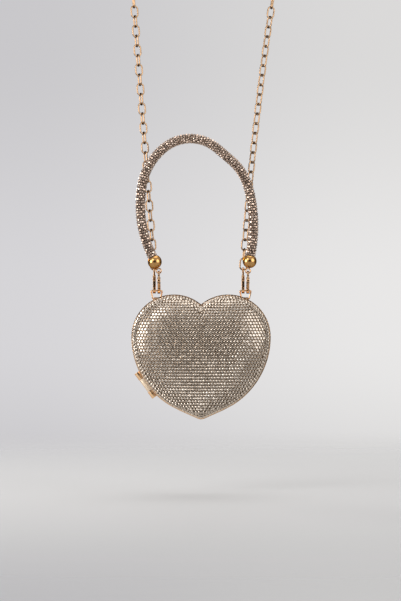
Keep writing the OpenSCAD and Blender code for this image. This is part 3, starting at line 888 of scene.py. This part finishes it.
def makeSleeve():
    line, headings = handleLine()
    handleY = places["handle_fold"][1]
    gone = lengthsAlong(line)
    say("the handle's sleeve is %.0f mm long" % gone[-1])

    def ringAt(along, radius, angles):
        x, z = (np.interp(along, gone, line[:, k]) for k in (0, 1))
        h = math.radians(float(np.interp(along, gone, headings)) + 90)
        across = np.array([math.cos(h), 0, math.sin(h)])
        around = np.outer(np.cos(angles), across) + np.outer(np.sin(angles), [0, 1, 0])
        return np.array([x, handleY, z]) + radius * around, around

    turns = np.linspace(0, 2 * math.pi, sleeve["bedSides"], endpoint=False)
    outer = sleeve["radius"] - sleeve["bedDrop"]
    stations = np.linspace(0, gone[-1], sleeve["stations"])
    rings = [ringAt(s, outer, turns)[0] for s in stations]
    rings += [ringAt(s, sleeve["boreRadius"], turns)[0] for s in stations[::-1]]
    points, faces = closedTube(rings)
    bed = newPiece("handleSleeve", points, faces, sleeveBed, "handle")
    faceOutwards(bed)
    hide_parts("handle_tube")
    rows = int((gone[-1] - sleeve["rowPitch"]) // sleeve["rowPitch"])
    at, normals = [], []
    margin = (gone[-1] - rows * sleeve["rowPitch"]) / 2
    for row in range(rows + 1):
        angles = (np.arange(sleeve["around"]) + 0.5 * (row % 2)) * 2 * math.pi / sleeve["around"]
        ring, around = ringAt(margin + row * sleeve["rowPitch"], sleeve["radius"] - sleeve["sink"], angles)
        at.append(ring)
        normals.append(around)
    setStones(
        "handleStones", np.concatenate(at), np.concatenate(normals), sleeve["stoneRadius"],
        sleeve, brownStone, "handle", 21,
    )


makeSleeve()
say("the handle's sleeve is set with stones")

# The strap: oval links of round wire

strap = {
    "pitch": 9.1,
    "width": 7.7,
    "wire": 0.7,
    "slack": 0.1,
    "strandLinks": 29,
    "topLinks": 11,
    "leftLean": 4.4,
    "rightBow": 2.5,
    "leftTwist": 22.0,
    "rightTwist": 40.0,
    "twistStep": 12.0,
    "cornerWays": (74, 52, 27),
    "claspReach": 19.5,
    "claspOffset": 2.2,
    "seamDepth": 0.1,
    "wireSides": 12,
    "bendPoints": 15,
    "sidePoints": (0.5, 0.12, 0.0, -0.12, -0.5),
}


def strapJoints():
    # where the links hang in each other, in the XZ plane from the ring bars: left strand, top run, right strand
    foot = strap["claspReach"] + strap["wire"] + strap["slack"]
    leftFoot = np.array([-heart["ringX"] - strap["claspOffset"], foot])
    rightFoot = np.array([heart["ringX"] - strap["claspOffset"], foot])
    count = strap["strandLinks"]
    leftTop = leftFoot + count * strap["pitch"] * way(90 + strap["leftLean"])
    bends = [strap["rightBow"] * ((2 * n - 1) / count - 1) for n in range(1, count + 1)]
    bowed = np.cumsum([np.zeros(2)] + [strap["pitch"] * way(90 - bend) for bend in bends], axis=0)
    rightLength = np.linalg.norm(bowed[-1])
    steps = np.cumsum([strap["pitch"] * way(h) for h in strap["cornerWays"]], axis=0)
    leftCorner = leftTop + steps[-1]
    cornerWay = np.array([steps[-1][0], -steps[-1][1]])
    reach = rightFoot - cornerWay - leftCorner
    span, top = np.linalg.norm(reach), strap["topLinks"] * strap["pitch"]
    along = (top**2 - rightLength**2 + span**2) / (2 * span)
    up = math.sqrt(top**2 - along**2)
    unit = reach / span
    rightCorner = leftCorner + along * unit + up * np.array([-unit[1], unit[0]])
    rightTop = rightCorner + cornerWay
    rightWay = (rightTop - rightFoot) / rightLength
    rightRun = [rightFoot + p[0] * np.array([rightWay[1], -rightWay[0]]) + p[1] * rightWay for p in bowed]

    def run(a, b, n):
        return [a + (b - a) * i / n for i in range(n + 1)]

    over = [leftTop, *(leftTop + s for s in steps[:-1]), *run(leftCorner, rightCorner, strap["topLinks"])]
    over += [rightTop + s * (-1, 1) for s in steps[-2::-1]] + [rightTop]
    return run(leftFoot, leftTop, count), over, rightRun


def linkRings(a, b, turn):
    # one link between two joints: a bent wire, closed with a faint seam half way along one side
    wire = strap["wire"]
    bend = strap["width"] / 2 - wire
    half = strap["pitch"] / 2 + wire + strap["slack"] - bend
    line = []
    for flip in (1, -1):
        bent = np.linspace(0, math.pi, strap["bendPoints"])
        line += [(flip * bend * math.cos(t), flip * (half + bend * math.sin(t))) for t in bent]
        line += [(-flip * bend, flip * half * k) for k in strap["sidePoints"]]
    line = np.array(line)
    ways = np.roll(line, -1, 0) - np.roll(line, 1, 0)
    ways /= np.linalg.norm(ways, axis=1, keepdims=True)
    along = np.append(b - a, 0) / np.linalg.norm(b - a)
    axis = np.array([along[0], 0, along[1]])
    turned = way(turn)
    side = turned[0] * np.array([along[1], 0, -along[0]]) + turned[1] * np.array([0.0, 1.0, 0.0])
    flat = np.cross(axis, side)
    middle = np.array([(a[0] + b[0]) / 2, 0, (a[1] + b[1]) / 2])
    turns = np.linspace(0, 2 * math.pi, strap["wireSides"], endpoint=False)
    seam = strap["bendPoints"] + strap["sidePoints"].index(0.0)
    rings = []
    for k, (p, w) in enumerate(zip(line, ways)):
        out = np.array([w[1], -w[0]])
        radius = wire * (1 - strap["seamDepth"]) if k == seam else wire
        spoke = out[0] * side + out[1] * axis
        centre = middle + p[0] * side + p[1] * axis
        rings.append(centre + radius * (np.outer(np.cos(turns), spoke) + np.outer(np.sin(turns), flat)))
    return rings


def makeStrap():
    barZ = places["rings_swing"][2]
    twists = (strap["leftTwist"], 0.0, strap["rightTwist"])
    for name, node, joints, odd, most in zip(
        ("strapLeft", "strapTop", "strapRight"), ("chain_left", "chain_top", "chain_right"),
        strapJoints(), (0, 1, 0), twists,
    ):
        points, faces = [], []
        for i in range(len(joints) - 1):
            a, b = joints[i] + (0, barZ), joints[i + 1] + (0, barZ)
            twist = min(most, i * strap["twistStep"], (len(joints) - 2 - i) * strap["twistStep"])
            p, f = closedTube(linkRings(a, b, 90 * ((i + odd) % 2) + twist))
            start = sum(len(q) for q in points)
            points.append(p)
            faces += [tuple(k + start for k in face) for face in f]
        piece = newPiece(name, np.concatenate(points), faces, linkGoldPaintedDarker, "strap")
        faceOutwards(piece)
        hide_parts(node)


makeStrap()
say("the strap is linked")

# Clasps, rims, hinge and lugs: the solids with broken or rounded edges

# the rim's edges between these lengths follow the outline, and longer ones are the straight edges of the hinge's seat
rimChords = {"shortest": 1.5, "longest": 11.2, "apart": 0.02, "level": 0.01, "shares": (0.25, 0.5, 0.75)}


def arcAt(x, y):
    # the arc of the heart's outline that a plan point belongs to: its centre and radius, for the right side
    lobe, side, tip = outlineArcs()
    if y > 0:
        return lobe
    return side if math.atan2(y, abs(x) - side[0][0]) > -math.radians(heart["sideTurn"]) else tip


def roundRim(bm):
    # cuts the chords that follow the outline into short ones and sets the new points on their arc
    def plan(vert):
        return vert.co.x / mm, vert.co.z / mm - lobeZ

    def inset(vert):
        x, y = plan(vert)
        centre, radius = arcAt(x, y)
        return radius - math.hypot(abs(x) - centre[0], y - centre[1])

    chords = []
    for edge in bm.edges:
        a, b = edge.verts
        level = abs(a.co.y - b.co.y) < rimChords["level"] * mm
        follows = rimChords["shortest"] * mm < edge.calc_length() < rimChords["longest"] * mm
        if level and follows and abs(inset(a) - inset(b)) < rimChords["apart"]:
            chords.append((a.co.copy(), b.co.copy(), (inset(a) + inset(b)) / 2, edge))
    before = set(bm.verts)
    depths = {}
    for a, b, depth, edge in chords:
        for share in rimChords["shares"]:
            depths[tuple(round(c / mm, 3) for c in a.lerp(b, share))] = depth
    bmesh.ops.subdivide_edges(bm, edges=[c[3] for c in chords], cuts=len(rimChords["shares"]))
    for vert in bm.verts:
        depth = depths.get(tuple(round(c / mm, 3) for c in vert.co))
        if vert in before or depth is None:
            continue
        x, y = plan(vert)
        centre, radius = arcAt(x, y)
        out = np.array([abs(x), y]) - centre
        placed = centre + out / np.linalg.norm(out) * (radius - depth)
        vert.co.x, vert.co.z = math.copysign(placed[0], x) * mm, (placed[1] + lobeZ) * mm


castings = {"claspVoxel": 0.16, "claspRounds": 9, "leverVoxel": 0.13, "leverRounds": 6}
for side in ("left", "right"):
    for place, body, lever in (
        ("chain", "strap", "strap_lever_" + side),
        ("handle", "handle_clasps", "handle_lever_body_" + side),
    ):
        metalCopy(
            place + "Clasp" + side.title(), place + "_clasp_" + side, body, roseGold,
            voxel=castings["claspVoxel"], rounds=castings["claspRounds"],
        )
        metalCopy(
            place + "Lever" + side.title(), place + "_lever_" + side, lever, roseGold,
            voxel=castings["leverVoxel"], rounds=castings["leverRounds"],
        )
say("the clasps are cast")

edges = {"rim": 0.35, "hinge": 0.3, "lug": 0.3, "magnet": 0.25}
metalCopy("frontRim", "front_rim", "front", rimGoldPaintedLighter, edge=edges["rim"], refine=roundRim)
metalCopy("rearRim", "rear_rim", "purse", rimGoldPaintedLighter, edge=edges["rim"], refine=roundRim)
metalCopy("hingeEnds", "hinge_ends", "purse", hingeGoldPaintedLighter, edge=edges["hinge"])
metalCopy("hingeMiddle", "hinge_middle", "front", paleGold, edge=edges["hinge"])
for side in ("left", "right"):
    metalCopy("lug" + side.title(), "lug_" + side, "purse", roseGold, edge=edges["lug"])
metalCopy("frontMagnets", "front_magnets", "front", nickel, edge=edges["magnet"])
metalCopy("rearMagnets", "rear_magnets", "purse", nickel, edge=edges["magnet"])
say("the rims and the hinge are finished")

# CAD nodes that keep their own shape

kept = {"hinge_pin": nickel, "handle_core": coreRubber, "front_shell": glossBlack, "rear_shell": glossBlack}
for side in ("left", "right"):
    kept.update({"ring_" + side: roseGold, "eye_pin_" + side: roseGold, "bead_" + side: yellowGold})
    kept.update({"chain_pin_" + side: nickel, "handle_pin_" + side: nickel})
for node, material in kept.items():
    mesh = frame["nodes"][node].data
    mesh.materials.clear()
    mesh.materials.append(material)
say("the plain parts have their finish")

# The studio

studio = {
    "floorBelowBars": 191.0,
    "floorRadius": 1150.0,
    "floorSides": 96,
    "floorRings": 24,
    "fadeFrom": 60.0,
    # painted light on the backdrop: darker on the left and lighter on the right, and how wide the change is
    "backdropLeft": (0.62, 0.612, 0.632),
    "backdropRight": (0.75, 0.742, 0.738),
    "backdropSpread": 0.09,
    # how bright the camera sees the backdrop: behind the object, above it and below it, and the heights of the changes
    "tones": {"middle": 1.08, "above": 0.94, "below": 0.78, "rise": (0.0, 0.11), "sink": (-0.125, -0.015)},
    # painted shade on the floor: darker near the front and lighter far behind, and the depths between which it changes
    "floorNear": (0.40, 0.396, 0.396),
    "floorFar": (0.51, 0.506, 0.504),
    "floorTurns": (-750.0, 250.0),
    "worldLight": 0.62,
    "worldColour": (1.0, 0.99, 0.98),
    "flagColour": (0.02, 0.016, 0.014),
}
aim = Vector((0, 0, places["purse_swing"][2] * mm))


def makeFloor():
    # a round floor that fades into the backdrop towards its edge, with painted shade that darkens it towards the front
    n, rings = studio["floorSides"], studio["floorRings"]
    z = places["rings_swing"][2] - studio["floorBelowBars"]
    points = [(0, 0, z)]
    for j in range(1, rings + 1):
        r = studio["floorRadius"] * j / rings
        points += [(r * math.cos(2 * math.pi * i / n), r * math.sin(2 * math.pi * i / n), z) for i in range(n)]
    faces = [(0, 1 + i, 1 + (i + 1) % n) for i in range(n)]
    for j in range(rings - 1):
        a, b = 1 + j * n, 1 + (j + 1) * n
        faces += [(a + i, b + i, b + (i + 1) % n, a + (i + 1) % n) for i in range(n)]
    mesh = bpy.data.meshes.new("floor")
    mesh.from_pydata((np.array(points, float) * mm).tolist(), [], faces)
    floor = addObject("floor", mesh)
    material, tree, shader = newMaterial("studioFloor")
    where = objectSpace(tree)
    # painted shade: the floor's colour darkens towards the front
    depth = addNode(tree, "ShaderNodeSeparateXYZ", {"Vector": where}).outputs["Y"]
    near, far = (y * mm for y in studio["floorTurns"])
    nearness = spreadOf(tree, depth, near, far, kind="SMOOTHSTEP")
    setAll(tree, shader, {
        "Base Color": blendOf(tree, nearness, opaque(studio["floorNear"]), opaque(studio["floorFar"])),
        "Roughness": 0.6,
        "Specular IOR Level": 0.2,
    })
    flat = stretched(tree, where, (1.0, 1.0, 0.0))
    away = addNode(tree, "ShaderNodeVectorMath", {0: flat}, operation="LENGTH").outputs["Value"]
    fade = spreadOf(tree, away, studio["fadeFrom"] * mm, studio["floorRadius"] * mm, kind="SMOOTHSTEP")
    solid = tree.nodes["Principled BSDF"].outputs["BSDF"]
    clear = addNode(tree, "ShaderNodeBsdfTransparent").outputs["BSDF"]
    mix = addNode(tree, "ShaderNodeMixShader", {"Fac": fade, 1: solid, 2: clear})
    setAll(tree, tree.nodes["Material Output"].inputs, {"Surface": mix.outputs["Shader"]})
    mesh.materials.append(material)


def makeWorld():
    # the camera and clear reflections see the backdrop with its painted light, and all other rays meet an even light
    world = bpy.data.worlds.new("studio")
    bpy.context.scene.world = world
    world.use_nodes = True
    tree = world.node_tree
    tree.nodes.clear()
    where = addNode(tree, "ShaderNodeTexCoord").outputs["Generated"]
    direction = addNode(tree, "ShaderNodeSeparateXYZ", {"Vector": where}).outputs
    ray = addNode(tree, "ShaderNodeLightPath").outputs
    spread, tones = studio["backdropSpread"], studio["tones"]
    across = spreadOf(tree, direction["X"], -spread, spread, kind="SMOOTHSTEP")
    wash = blendOf(tree, across, opaque(studio["backdropLeft"]), opaque(studio["backdropRight"]))
    # painted light on the backdrop: brightest just above the horizon, darker above and below
    rise = spreadOf(tree, direction["Z"], *tones["rise"], (tones["middle"], tones["above"]), "SMOOTHSTEP")
    sink = spreadOf(tree, direction["Z"], *tones["sink"], (tones["below"] / tones["middle"], 1.0), "SMOOTHSTEP")
    tone = mathOf(tree, "MULTIPLY", rise, sink)
    strength = addNode(tree, "ShaderNodeMix", {0: ray["Is Camera Ray"], 2: 1.0, 3: tone}, data_type="FLOAT").outputs[0]
    seen = addNode(tree, "ShaderNodeBackground", {"Color": wash, "Strength": strength})
    even = {"Color": opaque(studio["worldColour"]), "Strength": studio["worldLight"]}
    light = addNode(tree, "ShaderNodeBackground", even)
    looking = mathOf(tree, "MAXIMUM", ray["Is Camera Ray"], ray["Is Glossy Ray"])
    looking = mathOf(tree, "MAXIMUM", looking, ray["Is Transmission Ray"])
    sides = {"Fac": looking, 1: light.outputs["Background"], 2: seen.outputs["Background"]}
    mix = addNode(tree, "ShaderNodeMixShader", sides)
    addNode(tree, "ShaderNodeOutputWorld", {"Surface": mix.outputs["Shader"]})


lamps = {
    # name: place, size, watts, colour
    "keyLeft": ((-900, -1200, 700), 750, 7, (0.97, 0.98, 1.0)),
    "fillLeft": ((-1350, -650, -150), 1000, 16, (1.0, 0.98, 0.96)),
    "fillRight": ((1300, -900, 100), 1400, 11.5, (1.0, 0.99, 0.98)),
    "top": ((100, 200, 1100), 1300, 9, (1.0, 1.0, 1.0)),
    "backLeft": ((-900, 1000, 100), 500, 5, (1.0, 1.0, 1.0)),
}

cards = {
    # dark flags that metal and stones mirror, out of the camera's sight: place, width, height
    "behindCamera": ((0, -3300, 100), 2900, 2100),
    "leftFlag": ((-1500, 350, -200), 800, 1500),
    "rightFlag": ((1500, 350, -200), 800, 1500),
    "leftBackFlag": ((-1100, 1500, -200), 1100, 1700),
    "rightBackFlag": ((1100, 1500, -200), 1100, 1700),
}


def turnToPurse(thing, place, axis):
    thing.location = Vector(place) * mm
    thing.rotation_euler = (aim - thing.location).to_track_quat(axis, "Y").to_euler()


def makeLamps():
    for name, (place, size, watts, colour) in lamps.items():
        lamp = bpy.data.lights.new(name, "AREA")
        lamp.shape, lamp.size = "DISK", size * mm
        lamp.energy, lamp.color = watts, colour
        turnToPurse(addObject(name, lamp), place, "-Z")


def makeCards():
    material, tree, shader = newMaterial("darkFlag")
    setAll(tree, shader, {"Base Color": opaque(studio["flagColour"]), "Roughness": 0.9})
    for name, (place, width, height) in cards.items():
        w, h = width * mm / 2, height * mm / 2
        mesh = bpy.data.meshes.new(name)
        mesh.from_pydata([(-w, -h, 0), (w, -h, 0), (w, h, 0), (-w, h, 0)], [], [(0, 1, 2, 3)])
        mesh.materials.append(material)
        card = addObject(name, mesh)
        turnToPurse(card, place, "Z")
        card.visible_camera = card.visible_diffuse = card.visible_shadow = card.visible_transmission = False


makeFloor()
makeWorld()
makeLamps()
makeCards()
bpy.context.scene.view_settings.view_transform = "Standard"
say("the studio is lit")
